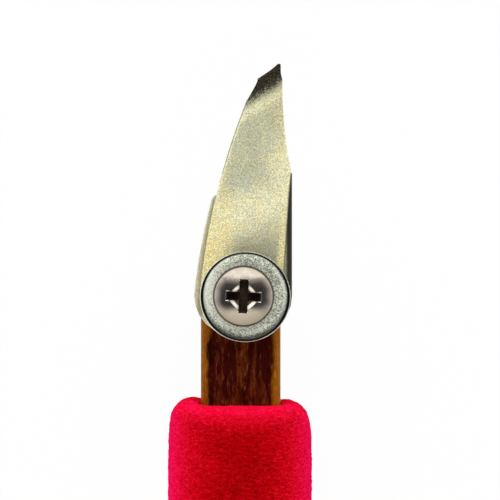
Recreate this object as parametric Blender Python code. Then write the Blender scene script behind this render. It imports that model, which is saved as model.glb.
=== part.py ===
"""A bent carving chisel: a skew blade with a bent-up tip, clamped to a wooden stick by one screw.

The tool lies on its back. +Y runs along the handle to the blade's tip, +X is to the right and +Z
faces up, away from the bench. The origin is the middle of the foam grip's flat back. Metres.
"""
import math

import bmesh
import bpy
from mathutils import Vector

# Fits
SEAT_GAP = 0.00005  # between faces that are clamped or pushed together
PIVOT_CLEARANCE = 0.00008  # around the screw in the holes of blade, plate and stick
WASHER_CLEARANCE = 0.0003  # around the screw in the loose washers
THREAD_CLEARANCE = 0.00005  # around the screw in the nut

# Wooden stick
STICK_WIDTH = 0.0107
STICK_THICKNESS = 0.0068
STICK_EDGE_RADIUS = 0.0015
STICK_END_ROUND = 0.0008
STICK_PAST_PIVOT = 0.0060  # from the screw to the stick's head end, behind the plate
BUTT_LENGTH = 0.0150  # of bare stick behind the grip

# Foam grip
GRIP_LENGTH = 0.1000
GRIP_WALL = 0.00435
GRIP_END_RADIUS = 0.0022
GRIP_TAPER_LENGTH = 0.0065  # over which the ends draw in, past the end rounding
GRIP_TAPER_DEPTH = 0.00035
PIVOT_PAST_GRIP = 0.0146  # from the grip's head end to the screw
PIVOT_OFFSET = 0.0004  # of the screw's hole from the stick's middle line

# Backing plate, from the screw
PLATE_THICKNESS = 0.0008
PLATE_LEFT = -0.0066  # at the screw
PLATE_RIGHT = 0.00645
PLATE_BASE = -0.0053
PLATE_BASE_RADIUS = 0.0053
PLATE_TOP_LEFT = (-0.00415, 0.01325)
PLATE_TOP_RIGHT = 0.0165  # height of the upper right corner
PLATE_LEFT_BOW = 0.00028
PLATE_LEFT_ROUND = 0.0008
PLATE_RIGHT_ROUND = 0.0003

# Blade, from the screw, measured on the flat blank before its tip is bent
BLADE_THICKNESS = 0.0008
BLADE_BASE_RADIUS = 0.0055
BLADE_BASE_SHIFT = -0.00032  # of the round base to the left of the screw
BLADE_LEFT_BOW = 0.00098
BLADE_NECK_BOW = 0.00032
LIP_LEFT_HOLLOW = 0.0003  # of the left edge past the fold
BLADE_SHOULDER = (0.00626, 0.0167)  # widest point, on the right
FOLD_LEFT = (0.00042, 0.0259)
FOLD_RIGHT = (0.00514, 0.0286)
EDGE_HEEL = (0.00155, 0.0291)  # left end of the cutting edge
EDGE_TOE = (0.0044, 0.0314)  # right end of the cutting edge
EDGE_BEVEL = 0.0008  # ground width behind the cutting edge
EDGE_THICKNESS = 0.0002
BEND_ANGLE = math.radians(60)
BEND_RADIUS = 0.0012  # on the blade's front face

# Clamp screw, washers and nut, M4
SCREW_DIAMETER = 0.0039
SCREW_TIP_CHAMFER = 0.0004
HEAD_DIAMETER = 0.0080
HEAD_HEIGHT = 0.0026
HEAD_CROWN_RADIUS = 0.0065
HEAD_EDGE_RADIUS = 0.0004
RECESS_SPAN = 0.0049
RECESS_ARM = 0.00125
RECESS_DEPTH = 0.0019
RECESS_END_DRAFT = math.radians(20)  # taper of the arms' ends
RECESS_SIDE_DRAFT = math.radians(5)  # taper of the arms' sides
RECESS_CORE = 0.0031  # across the flared middle between the arms
RECESS_CORE_DEPTH = 0.0012
RECESS_CORE_DRAFT = math.radians(42)
RECESS_TURN = math.radians(-3)
WASHER_DIAMETER = 0.0120
WASHER_THICKNESS = 0.0010
WASHER_EDGE_RADIUS = 0.0005
WASHER_BURR = 0.0001  # rounding of the washer's lower edges
WASHER_SAG = math.radians(-27)  # direction in which the loose washer has slid
NUT_ACROSS_FLATS = 0.0070
NUT_THICKNESS = 0.0032
NUT_CHAMFER = math.radians(30)
NUT_TURN = math.radians(12)

# Smoothness of curved edges
ROUND_STEPS = 48
CORNER_STEPS = 6
ARC_STEPS = 14
BEND_STEPS = 6
SHARP_ANGLE = math.radians(35)

# Places along the handle and through the clamp
GRIP_BORE_WIDTH = STICK_WIDTH + 2 * SEAT_GAP
GRIP_BORE_THICKNESS = STICK_THICKNESS + 2 * SEAT_GAP
STICK_MIDDLE = GRIP_WALL + GRIP_BORE_THICKNESS / 2
STICK_FRONT = STICK_MIDDLE + STICK_THICKNESS / 2
PIVOT = Vector((PIVOT_OFFSET, GRIP_LENGTH / 2 + PIVOT_PAST_GRIP, STICK_FRONT))
PLATE_BACK = SEAT_GAP
BLADE_BACK = PLATE_BACK + PLATE_THICKNESS + SEAT_GAP
WASHER_BACK = BLADE_BACK + BLADE_THICKNESS + SEAT_GAP
HEAD_SEAT = WASHER_BACK + WASHER_THICKNESS + SEAT_GAP
REAR_WASHER_BACK = -STICK_THICKNESS - SEAT_GAP - WASHER_THICKNESS
NUT_BACK = REAR_WASHER_BACK - SEAT_GAP - NUT_THICKNESS
SCREW_LENGTH = HEAD_SEAT - NUT_BACK  # flush with the nut
PIVOT_HOLE = SCREW_DIAMETER + 2 * PIVOT_CLEARANCE
WASHER_HOLE = SCREW_DIAMETER + 2 * WASHER_CLEARANCE
WASHER_SLIP = WASHER_CLEARANCE - SEAT_GAP


def clear_scene():
    for thing in list(bpy.data.objects):
        bpy.data.objects.remove(thing, do_unlink=True)


def make_material(name, color, roughness, metallic):
    material = bpy.data.materials.new(name)
    material.use_nodes = True
    shader = material.node_tree.nodes["Principled BSDF"]
    shader.inputs["Base Color"].default_value = (*color, 1.0)
    shader.inputs["Roughness"].default_value = roughness
    shader.inputs["Metallic"].default_value = metallic
    return material


def make_object(name, shape, material=None, parent=None, location=(0, 0, 0)):
    """Turn a bmesh into a named object with outward normals and smooth round faces."""
    bmesh.ops.recalc_face_normals(shape, faces=shape.faces)
    mesh = bpy.data.meshes.new(name)
    shape.to_mesh(mesh)
    shape.free()
    mesh.shade_smooth()
    mesh.set_sharp_from_angle(angle=SHARP_ANGLE)
    thing = bpy.data.objects.new(name, mesh)
    bpy.context.scene.collection.objects.link(thing)
    if material:
        mesh.materials.append(material)
    thing.parent = parent
    thing.location = location
    return thing


def combine(thing, other, operation):
    """Cut a body with, or trim it to, a hidden helper body."""
    other.hide_render = True
    other.display_type = "WIRE"
    modifier = thing.modifiers.new(other.name, "BOOLEAN")
    modifier.operation = operation
    modifier.solver = "EXACT"
    modifier.object = other


def arc(start, end, bow, steps=ARC_STEPS):
    """Points of a circular arc that bulges by bow to the left of the way from start to end."""
    start = Vector(start)
    chord = Vector(end) - start
    middle = start + chord / 2
    left = Vector((-chord.y, chord.x)).normalized()
    radius = (chord.length_squared / 4 + bow * bow) / (2 * bow)
    centre = middle + left * (bow - radius)
    half = math.asin(chord.length / 2 / abs(radius))
    points = []
    for step in range(steps + 1):
        angle = half * (2 * step / steps - 1)
        along = chord.normalized() * abs(radius) * math.sin(angle)
        points.append(centre + along + left * radius * math.cos(angle))
    return points


def circle(centre, radius, start, end, steps=ARC_STEPS):
    """Points of a circle from one angle to another."""
    points = []
    for step in range(steps + 1):
        angle = start + (end - start) * step / steps
        points.append(Vector(centre) + radius * Vector((math.cos(angle), math.sin(angle))))
    return points


def round_corner(before, corner, after, radius):
    """Points of a corner of an outline, rounded to a radius."""
    corner = Vector(corner)
    to_before = (Vector(before) - corner).normalized()
    to_after = (Vector(after) - corner).normalized()
    half = to_before.angle(to_after) / 2
    centre = corner + (to_before + to_after).normalized() * radius / math.sin(half)
    first = corner + to_before * radius / math.tan(half) - centre
    turn = first.angle_signed(corner + to_after * radius / math.tan(half) - centre)
    start = math.atan2(first.y, first.x)
    return circle(centre, radius, start, start - turn, CORNER_STEPS)


def extrude_outline(outline, thickness):
    """A flat plate on z = 0 with the outline's shape."""
    shape = bmesh.new()
    face = shape.faces.new([shape.verts.new((point.x, point.y, 0)) for point in outline])
    raised = bmesh.ops.extrude_face_region(shape, geom=[face])["geom"]
    corners = [item for item in raised if isinstance(item, bmesh.types.BMVert)]
    bmesh.ops.translate(shape, verts=corners, vec=(0, 0, thickness))
    return shape


def spin_profile(profile, closed):
    """A turned body from (radius, height) points; an open profile starts and ends on the axis."""
    shape = bmesh.new()
    corners = [shape.verts.new((radius, 0, height)) for radius, height in profile]
    edges = [shape.edges.new(pair) for pair in zip(corners, corners[1:])]
    if closed:
        edges.append(shape.edges.new((corners[-1], corners[0])))
    bmesh.ops.spin(
        shape,
        geom=corners + edges,
        cent=(0, 0, 0),
        axis=(0, 0, 1),
        angle=2 * math.pi,
        steps=ROUND_STEPS,
        use_merge=True,
    )
    bmesh.ops.remove_doubles(shape, verts=shape.verts, dist=1e-7)
    return shape


def make_cylinder(name, diameter, bottom, top, parent):
    """A helper rod along the pivot's axis, for cutting holes."""
    radius = diameter / 2
    shape = spin_profile([(0, bottom), (radius, bottom), (radius, top), (0, top)], False)
    return make_object(name, shape, parent=parent)


def section_ring(width, thickness, radius, y):
    """Corners of a rounded rectangular section of the handle, at y along it."""
    points = []
    for quarter in range(4):
        middle = math.pi / 4 + quarter * math.pi / 2
        sign_x = math.copysign(1, math.cos(middle))
        sign_z = math.copysign(1, math.sin(middle))
        centre = (sign_x * (width / 2 - radius), sign_z * (thickness / 2 - radius))
        start = quarter * math.pi / 2
        for point in circle(centre, radius, start, start + math.pi / 2, CORNER_STEPS):
            points.append((point.x, y, point.y))
    return points


def loft(rings, closed):
    """Skin over a row of rings: a tube that closes on itself, or a bar with flat ends."""
    shape = bmesh.new()
    loops = [[shape.verts.new(point) for point in ring] for ring in rings]
    count = len(rings[0])
    pairs = list(zip(loops, loops[1:]))
    if closed:
        pairs.append((loops[-1], loops[0]))
    else:
        shape.faces.new(loops[0])
        shape.faces.new(loops[-1])
    for one, two in pairs:
        for index in range(count):
            following = (index + 1) % count
            shape.faces.new((one[index], one[following], two[following], two[index]))
    return shape


def make_stick():
    head_end = PIVOT.y + STICK_PAST_PIVOT
    butt_end = -GRIP_LENGTH / 2 - BUTT_LENGTH
    rings = []
    for end, inward in ((butt_end, 1), (head_end, -1)):
        rows = []
        for step in range(CORNER_STEPS // 2 + 1):
            angle = math.pi / 2 * step / (CORNER_STEPS // 2)
            inset = STICK_END_ROUND * (1 - math.sin(angle))
            y = end + inward * STICK_END_ROUND * (1 - math.cos(angle))
            rows.append(
                section_ring(
                    STICK_WIDTH - 2 * inset,
                    STICK_THICKNESS - 2 * inset,
                    STICK_EDGE_RADIUS - inset / 2,
                    y,
                )
            )
        rings += rows if inward > 0 else rows[::-1]
    wood = make_material("dark_wood", (0.13, 0.04, 0.015), 0.55, 0.0)
    return make_object("handle_stick", loft(rings, False), wood, location=(0, 0, STICK_MIDDLE))


def grip_inset(distance):
    """How far the grip's skin lies inside its full section, at a distance from its end."""
    end_round = 0.0
    if distance < GRIP_END_RADIUS:
        reach = GRIP_END_RADIUS - distance
        end_round = GRIP_END_RADIUS - math.sqrt(GRIP_END_RADIUS ** 2 - reach ** 2)
    part = min(1.0, distance / (GRIP_END_RADIUS + GRIP_TAPER_LENGTH))
    return end_round + GRIP_TAPER_DEPTH * (1 - part) ** 2


def make_grip():
    distances = []
    for step in range(CORNER_STEPS + 1):
        distances.append(GRIP_END_RADIUS * (1 - math.cos(math.pi / 2 * step / CORNER_STEPS)))
    for step in range(1, CORNER_STEPS + 1):
        distances.append(GRIP_END_RADIUS + GRIP_TAPER_LENGTH * step / CORNER_STEPS)
    outer_radius = STICK_EDGE_RADIUS + SEAT_GAP + GRIP_WALL
    rings = []
    for side, row in ((1, distances), (-1, distances[::-1])):
        for distance in row:
            inset = grip_inset(distance)
            rings.append(
                section_ring(
                    GRIP_BORE_WIDTH + 2 * (GRIP_WALL - inset),
                    GRIP_BORE_THICKNESS + 2 * (GRIP_WALL - inset),
                    outer_radius - inset,
                    side * (GRIP_LENGTH / 2 - distance),
                )
            )
    for side in (-1, 1):
        bore_radius = STICK_EDGE_RADIUS + SEAT_GAP
        end = side * GRIP_LENGTH / 2
        rings.append(section_ring(GRIP_BORE_WIDTH, GRIP_BORE_THICKNESS, bore_radius, end))
    foam = make_material("red_foam", (0.62, 0.004, 0.03), 0.9, 0.0)
    return make_object("foam_grip", loft(rings, True), foam, location=(0, 0, STICK_MIDDLE))


def plate_outline():
    base_left = (PLATE_LEFT, PLATE_BASE)
    base_right = (PLATE_RIGHT, PLATE_BASE)
    top_right = (PLATE_RIGHT, PLATE_TOP_RIGHT)
    left_start = (PLATE_LEFT, PLATE_BASE + PLATE_BASE_RADIUS)
    left_edge = arc(left_start, PLATE_TOP_LEFT, PLATE_LEFT_BOW)
    top_left = round_corner(left_edge[-2], PLATE_TOP_LEFT, top_right, PLATE_LEFT_ROUND)
    kept = [point for point in left_edge if (point - left_edge[-1]).length > PLATE_LEFT_ROUND]
    outline = round_corner(base_right, base_left, left_start, PLATE_BASE_RADIUS)[:-1]
    outline += kept
    outline += top_left
    outline += round_corner(PLATE_TOP_LEFT, top_right, base_right, PLATE_RIGHT_ROUND)
    outline += round_corner(top_right, base_right, base_left, PLATE_BASE_RADIUS)
    return outline


def make_plate(pivot):
    steel = make_material("plate_steel", (0.45, 0.44, 0.38), 0.4, 1.0)
    shape = extrude_outline(plate_outline(), PLATE_THICKNESS)
    return make_object("backing_plate", shape, steel, pivot, (0, 0, PLATE_BACK))


def blade_outline():
    base = Vector((BLADE_BASE_SHIFT, 0))
    base_left = base - Vector((BLADE_BASE_RADIUS, 0))
    outline = circle(base, BLADE_BASE_RADIUS, 2 * math.pi, math.pi)[:-1]
    outline += arc(base_left, FOLD_LEFT, BLADE_LEFT_BOW)
    outline += arc(FOLD_LEFT, EDGE_HEEL, -LIP_LEFT_HOLLOW)[1:]
    outline.append(Vector(EDGE_TOE))
    outline += arc(FOLD_RIGHT, BLADE_SHOULDER, -BLADE_NECK_BOW)
    return outline


def bend_tip(shape, fold, along, across):
    """Roll everything past the fold line up towards the front face."""
    arc_length = BEND_RADIUS * BEND_ANGLE
    for vert in shape.verts:
        offset = Vector((vert.co.x, vert.co.y)) - fold
        past = offset.dot(across)
        if past <= 0:
            continue
        angle = min(past / BEND_RADIUS, BEND_ANGLE)
        straight = max(past - arc_length, 0)
        radius = BEND_RADIUS + BLADE_THICKNESS - vert.co.z
        reach = radius * math.sin(angle) + straight * math.cos(angle)
        place = fold + along * offset.dot(along) + across * reach
        height = radius * math.cos(angle) - straight * math.sin(angle)
        vert.co = (place.x, place.y, BEND_RADIUS + BLADE_THICKNESS - height)


def split_along(shape, point, across):
    """Cut a row of edges through the blade along a line."""
    everything = shape.verts[:] + shape.edges[:] + shape.faces[:]
    bmesh.ops.bisect_plane(
        shape,
        geom=everything,
        dist=1e-7,
        plane_co=(point.x, point.y, 0),
        plane_no=(across.x, across.y, 0),
    )


def make_blade(pivot):
    shape = extrude_outline(blade_outline(), BLADE_THICKNESS)
    fold = Vector(FOLD_LEFT)
    along = (Vector(FOLD_RIGHT) - fold).normalized()
    across = Vector((-along.y, along.x))
    heel = Vector(EDGE_HEEL)
    edge = (Vector(EDGE_TOE) - heel).normalized()
    edge_across = Vector((-edge.y, edge.x))
    for step in range(BEND_STEPS + 1):
        split_along(shape, fold + across * BEND_RADIUS * BEND_ANGLE * step / BEND_STEPS, across)
    split_along(shape, heel - edge_across * EDGE_BEVEL, edge_across)
    for vert in shape.verts:
        behind = (heel - Vector((vert.co.x, vert.co.y))).dot(edge_across)
        if vert.co.z < BLADE_THICKNESS / 2 and behind < EDGE_BEVEL:
            ground = BLADE_THICKNESS - EDGE_THICKNESS
            vert.co.z = ground * (1 - max(behind, 0) / EDGE_BEVEL)
    bend_tip(shape, fold, along, across)
    steel = make_material("blade_steel", (0.62, 0.6, 0.45), 0.38, 1.0)
    return make_object("blade", shape, steel, pivot, (0, 0, BLADE_BACK))


def washer_shape():
    hole = WASHER_HOLE / 2
    rim = WASHER_DIAMETER / 2
    profile = [(hole, 0)]
    for step in range(CORNER_STEPS // 2 + 1):
        angle = math.pi / 2 * (step / (CORNER_STEPS // 2) - 1)
        radius = rim - WASHER_BURR + WASHER_BURR * math.cos(angle)
        profile.append((radius, WASHER_BURR + WASHER_BURR * math.sin(angle)))
    for step in range(CORNER_STEPS + 1):
        angle = math.pi / 2 * step / CORNER_STEPS
        radius = rim - WASHER_EDGE_RADIUS + WASHER_EDGE_RADIUS * math.cos(angle)
        height = WASHER_THICKNESS - WASHER_EDGE_RADIUS + WASHER_EDGE_RADIUS * math.sin(angle)
        profile.append((radius, height))
    profile.append((hole, WASHER_THICKNESS))
    return spin_profile(profile, True)


def make_washers(pivot):
    zinc = make_material("zinc_plate", (0.5, 0.5, 0.44), 0.35, 1.0)
    slip = Vector((math.cos(WASHER_SAG), math.sin(WASHER_SAG), 0)) * WASHER_SLIP
    front = slip + Vector((0, 0, WASHER_BACK))
    make_object("clamp_washer", washer_shape(), zinc, pivot, front)
    rear_zinc = make_material("rear_zinc_plate", (0.5, 0.5, 0.44), 0.35, 1.0)
    rear = make_object("rear_washer", washer_shape(), rear_zinc, pivot)
    rear.location = (0, 0, REAR_WASHER_BACK + WASHER_THICKNESS)
    rear.rotation_euler = (math.pi, 0, 0)


def screw_profile():
    shank = SCREW_DIAMETER / 2
    rim = HEAD_DIAMETER / 2
    crown_end = rim - HEAD_EDGE_RADIUS
    crown_base = HEAD_HEIGHT - HEAD_CROWN_RADIUS
    profile = [(0, -SCREW_LENGTH), (shank - SCREW_TIP_CHAMFER, -SCREW_LENGTH)]
    profile += [(shank, SCREW_TIP_CHAMFER - SCREW_LENGTH), (shank, 0), (rim, 0)]
    crown_angle = math.asin(crown_end / HEAD_CROWN_RADIUS)
    crown_rim = crown_base + HEAD_CROWN_RADIUS * math.cos(crown_angle)
    corner = Vector((rim, crown_rim - HEAD_EDGE_RADIUS * math.tan(crown_angle)))
    side = corner - Vector((0, HEAD_EDGE_RADIUS))
    crown = Vector((crown_end, crown_rim))
    for step in range(CORNER_STEPS):
        part = step / CORNER_STEPS
        point = side.lerp(corner, part).lerp(corner.lerp(crown, part), part)
        profile.append((point.x, point.y))
    for step in range(CORNER_STEPS + 1):
        angle = crown_angle * (1 - step / CORNER_STEPS)
        radius = HEAD_CROWN_RADIUS * math.sin(angle)
        profile.append((radius, crown_base + HEAD_CROWN_RADIUS * math.cos(angle)))
    return profile


def make_recess_cutter(name, size, drafts, depth, turn, pivot):
    """A drafted block that is pushed into the screw's head to a depth below its crown."""
    shape = bmesh.new()
    rings = []
    for height in (-depth, HEAD_HEIGHT / 2):
        half = [side / 2 + height * math.tan(draft) for side, draft in zip(size, drafts)]
        corners = [(-1, -1), (1, -1), (1, 1), (-1, 1)]
        rings.append([shape.verts.new((x * half[0], y * half[1], height)) for x, y in corners])
    shape.faces.new(rings[0])
    shape.faces.new(rings[1])
    for index in range(4):
        following = (index + 1) % 4
        shape.faces.new((rings[0][index], rings[0][following], rings[1][following], rings[1][index]))
    cutter = make_object(name, shape, None, pivot, (0, 0, HEAD_SEAT + HEAD_HEIGHT))
    cutter.rotation_euler = (0, 0, turn)
    return cutter


def make_screw(pivot):
    stainless = make_material("stainless_steel", (0.72, 0.69, 0.63), 0.22, 1.0)
    shape = spin_profile(screw_profile(), False)
    screw = make_object("clamp_screw", shape, stainless, pivot, (0, 0, HEAD_SEAT))
    arm = (RECESS_SPAN, RECESS_ARM)
    arm_drafts = (RECESS_END_DRAFT, RECESS_SIDE_DRAFT)
    for name, turn in (("recess_arm_x", 0), ("recess_arm_y", math.pi / 2)):
        block = make_recess_cutter(name, arm, arm_drafts, RECESS_DEPTH, RECESS_TURN + turn, pivot)
        combine(screw, block, "DIFFERENCE")
    core = (RECESS_CORE, RECESS_CORE)
    core_drafts = (RECESS_CORE_DRAFT, RECESS_CORE_DRAFT)
    core_turn = RECESS_TURN + math.pi / 4
    flare = make_recess_cutter("recess_core", core, core_drafts, RECESS_CORE_DEPTH, core_turn, pivot)
    combine(screw, flare, "DIFFERENCE")
    return screw


def make_nut(pivot):
    corner = NUT_ACROSS_FLATS / math.sqrt(3)
    hexagon = circle((0, 0), corner, NUT_TURN, NUT_TURN + 2 * math.pi, 6)[:-1]
    shape = extrude_outline(hexagon, NUT_THICKNESS)
    zinc = make_material("nut_zinc_plate", (0.52, 0.52, 0.47), 0.35, 1.0)
    nut = make_object("clamp_nut", shape, zinc, pivot, (0, 0, NUT_BACK))
    flat = NUT_ACROSS_FLATS / 2
    past = corner - flat + SEAT_GAP
    drop = past * math.tan(NUT_CHAMFER)
    turned = [(0, 0), (flat, 0), (flat + past, drop)]
    turned += [(flat + past, NUT_THICKNESS - drop), (flat, NUT_THICKNESS), (0, NUT_THICKNESS)]
    envelope = make_object("nut_envelope", spin_profile(turned, False), None, pivot, (0, 0, NUT_BACK))
    combine(nut, envelope, "INTERSECT")
    bore = SCREW_DIAMETER + 2 * THREAD_CLEARANCE
    margin = NUT_THICKNESS / 2
    hole = make_cylinder("nut_bore", bore, NUT_BACK - margin, NUT_BACK + NUT_THICKNESS + margin, pivot)
    combine(nut, hole, "DIFFERENCE")
    return nut


def main():
    clear_scene()
    pivot = bpy.data.objects.new("pivot", None)
    bpy.context.scene.collection.objects.link(pivot)
    pivot.location = PIVOT
    stick = make_stick()
    make_grip()
    plate = make_plate(pivot)
    blade = make_blade(pivot)
    make_washers(pivot)
    make_screw(pivot)
    make_nut(pivot)
    hole = make_cylinder("pivot_hole", PIVOT_HOLE, NUT_BACK, HEAD_SEAT + HEAD_HEIGHT, pivot)
    for drilled in (stick, plate, blade):
        combine(drilled, hole, "DIFFERENCE")


main()
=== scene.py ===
import math

import bmesh
import bpy
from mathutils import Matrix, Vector, noise


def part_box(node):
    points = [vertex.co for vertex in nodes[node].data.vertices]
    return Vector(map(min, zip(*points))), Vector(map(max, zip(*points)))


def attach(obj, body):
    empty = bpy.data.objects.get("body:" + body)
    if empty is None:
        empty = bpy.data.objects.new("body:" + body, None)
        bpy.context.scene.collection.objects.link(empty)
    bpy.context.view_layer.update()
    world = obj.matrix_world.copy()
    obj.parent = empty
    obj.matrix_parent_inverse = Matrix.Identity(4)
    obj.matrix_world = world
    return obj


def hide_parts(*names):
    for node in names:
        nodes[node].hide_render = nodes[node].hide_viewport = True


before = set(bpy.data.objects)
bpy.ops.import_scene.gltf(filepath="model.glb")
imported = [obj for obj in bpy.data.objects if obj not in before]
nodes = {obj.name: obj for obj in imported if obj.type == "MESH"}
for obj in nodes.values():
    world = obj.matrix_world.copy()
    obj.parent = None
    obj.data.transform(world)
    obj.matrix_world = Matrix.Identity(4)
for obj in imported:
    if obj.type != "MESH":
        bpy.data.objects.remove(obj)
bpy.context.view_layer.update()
mm = 0.001
pivot = Vector((0.4, 64.6, 11.2)) * mm  # where the screw crosses the stick's front face
spindle = (pivot.x, pivot.y, 0)
weld = 0.001 * mm  # corners nearer than this are one corner
hair = 0.01 * mm  # places nearer than this are the same place
print("frame loaded:", len(nodes), "nodes")


# selecting and finishing

def select(piece):
    if bpy.context.object and bpy.context.object.mode != "OBJECT":
        bpy.ops.object.mode_set(mode="OBJECT")
    bpy.ops.object.select_all(action="DESELECT")
    piece.select_set(True)
    bpy.context.view_layer.objects.active = piece


def openMesh(piece):
    select(piece)
    bpy.ops.object.mode_set(mode="EDIT")


def closeMesh():
    bpy.ops.object.mode_set(mode="OBJECT")


def pick(kind, test):  # selects what passes the test in the open mesh
    data = bpy.context.object.data
    bpy.ops.mesh.select_mode(type=kind)
    bpy.ops.mesh.select_all(action="DESELECT")
    mesh = bmesh.from_edit_mesh(data)
    group = {"VERT": mesh.verts, "EDGE": mesh.edges, "FACE": mesh.faces}[kind]
    for item in group:
        item.select_set(bool(test(item)))
    mesh.select_flush_mode()
    bmesh.update_edit_mesh(data)


def facesEnd(face):  # an end of a piece that lies along Y
    return abs(face.normal.y) > 0.9


def runsAlong(edge, axis):
    way = edge.verts[1].co - edge.verts[0].co
    return abs(way[axis]) > 0.99 * way.length


def edgeMiddle(edge):
    return (edge.verts[0].co + edge.verts[1].co) / 2


def useModifier(piece, kind, **settings):
    select(piece)
    modifier = piece.modifiers.new(kind.lower(), kind)
    for key, value in settings.items():
        setattr(modifier, key, value)
    bpy.ops.object.modifier_apply(modifier=modifier.name)


def carve(piece, cutter):
    useModifier(piece, "BOOLEAN", object=cutter, operation="DIFFERENCE", solver="EXACT")
    bpy.data.objects.remove(cutter)


def carveAll(piece, cutters):  # one cut with all of them is cleaner than one after another
    group = bpy.data.collections.new("cutters")
    for cutter in cutters:
        group.objects.link(cutter)
    useModifier(
        piece, "BOOLEAN", operand_type="COLLECTION", collection=group,
        operation="DIFFERENCE", solver="EXACT",
    )
    for cutter in cutters:
        bpy.data.objects.remove(cutter)
    bpy.data.collections.remove(group)


def smoothBelow(piece, degrees):
    select(piece)
    bpy.ops.object.shade_smooth_by_angle(angle=math.radians(degrees))


def boxAt(name, size, middle):
    bpy.ops.object.select_all(action="DESELECT")
    bpy.ops.mesh.primitive_cube_add(size=1, location=middle)
    piece = bpy.context.object
    piece.name = name
    piece.scale = size
    bpy.ops.object.transform_apply(location=True, rotation=True, scale=True)
    return piece


def cylinderAt(name, radius, bottom, top, middle, sides=64):
    bpy.ops.object.select_all(action="DESELECT")
    spot = (middle[0], middle[1], (bottom + top) / 2)
    bpy.ops.mesh.primitive_cylinder_add(vertices=sides, radius=radius, depth=top - bottom, location=spot)
    piece = bpy.context.object
    piece.name = name
    bpy.ops.object.transform_apply(location=True, rotation=True, scale=True)
    return piece


def turned(name, profile, middle, steps=128):  # a profile of (radius, height) spun about a vertical axis
    bpy.ops.object.select_all(action="DESELECT")
    bpy.ops.mesh.primitive_plane_add(size=mm, location=(0, 0, 0))  # merged into the profile's first point
    piece = bpy.context.object
    piece.name = name
    openMesh(piece)
    bpy.ops.mesh.select_mode(type="VERT")
    bpy.ops.mesh.select_all(action="SELECT")
    bpy.ops.mesh.merge(type="CENTER")
    row = [Vector((middle[0] + radius, middle[1], height)) for radius, height in profile]
    bpy.ops.transform.translate(value=row[0])
    for here, there in zip(row, row[1:]):
        bpy.ops.mesh.extrude_vertices_move(TRANSFORM_OT_translate={"value": there - here})
    bpy.ops.mesh.select_all(action="SELECT")
    axle = (middle[0], middle[1], 0)
    bpy.ops.mesh.spin(steps=steps, angle=2 * math.pi, center=axle, axis=(0, 0, 1))
    bpy.ops.mesh.select_all(action="SELECT")
    bpy.ops.mesh.remove_doubles(threshold=weld)
    bpy.ops.mesh.normals_make_consistent(inside=False)
    closeMesh()
    return piece


flatAngle = math.radians(0.6)  # triangles that lie flatter to each other than this become one face
smoothAngle = 40  # degrees, edges sharper than this stay sharp
normalWeight = 60  # how strongly large faces keep their normals


def cadCopy(name, node, merge):  # a node's own shape, its loose triangles joined up and its flats cleared
    piece = nodes[node].copy()
    piece.data = nodes[node].data.copy()
    for key in list(piece.keys()):
        del piece[key]
    piece.name = name
    piece.parent = None
    bpy.context.scene.collection.objects.link(piece)
    select(piece)
    bpy.ops.mesh.customdata_custom_splitnormals_clear()
    openMesh(piece)
    bpy.ops.mesh.select_all(action="SELECT")
    bpy.ops.mesh.remove_doubles(threshold=weld)
    bpy.ops.mesh.dissolve_limited(angle_limit=flatAngle)
    bpy.ops.mesh.select_all(action="SELECT")
    bpy.ops.mesh.remove_doubles(threshold=merge * mm)  # very short edges would hold the bevels back
    closeMesh()
    return piece


def easeEdges(piece, width, segments, sharpness=35, hole=0):  # rounds sharp edges, but not round the hole
    def isSharp(edge):
        fromPivot = (edgeMiddle(edge) - pivot).xy.length
        return edge.calc_face_angle() > math.radians(sharpness) and fromPivot > hole

    openMesh(piece)
    pick("EDGE", isSharp)
    bpy.ops.mesh.bevel(offset=width, segments=segments, profile=0.5, clamp_overlap=True)
    closeMesh()
    smoothBelow(piece, smoothAngle)
    useModifier(piece, "WEIGHTED_NORMAL", keep_sharp=True, weight=normalWeight)


def settle(piece, node, body, finish):
    piece.data.materials.clear()
    piece.data.materials.append(finish)
    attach(piece, body)
    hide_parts(node)
    print("made", piece.name, len(piece.data.polygons), "faces")


# materials are drawn with these two classes

def plug(socket, value):
    if isinstance(value, Wire):
        socket.id_data.links.new(value.socket, socket)
    else:
        socket.default_value = value


class Wire:  # an output socket whose sums are written as Python
    def __init__(self, socket):
        self.socket = socket

    def math(self, operation, left, right):
        node = self.socket.id_data.nodes.new("ShaderNodeMath")
        node.operation = operation
        plug(node.inputs[0], left)
        plug(node.inputs[1], right)
        return Wire(node.outputs[0])

    def __add__(self, other):
        return self.math("ADD", self, other)

    def __radd__(self, other):
        return self.math("ADD", other, self)

    def __sub__(self, other):
        return self.math("SUBTRACT", self, other)

    def __rsub__(self, other):
        return self.math("SUBTRACT", other, self)

    def __mul__(self, other):
        return self.math("MULTIPLY", self, other)

    def __rmul__(self, other):
        return self.math("MULTIPLY", other, self)

    def __truediv__(self, other):
        return self.math("DIVIDE", self, other)

    def __pow__(self, other):
        return self.math("POWER", self, other)

    def __abs__(self):
        return self.math("ABSOLUTE", self, 0.0)

    def least(self, other):
        return self.math("MINIMUM", self, other)

    def most(self, other):
        return self.math("MAXIMUM", self, other)

    def ramp(self, low, high):  # 0 below low, 1 above high, smooth between
        node = self.socket.id_data.nodes.new("ShaderNodeMapRange")
        node.interpolation_type = "SMOOTHSTEP"
        plug(node.inputs["Value"], self)
        plug(node.inputs["From Min"], low)
        plug(node.inputs["From Max"], high)
        return Wire(node.outputs[0])


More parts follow.
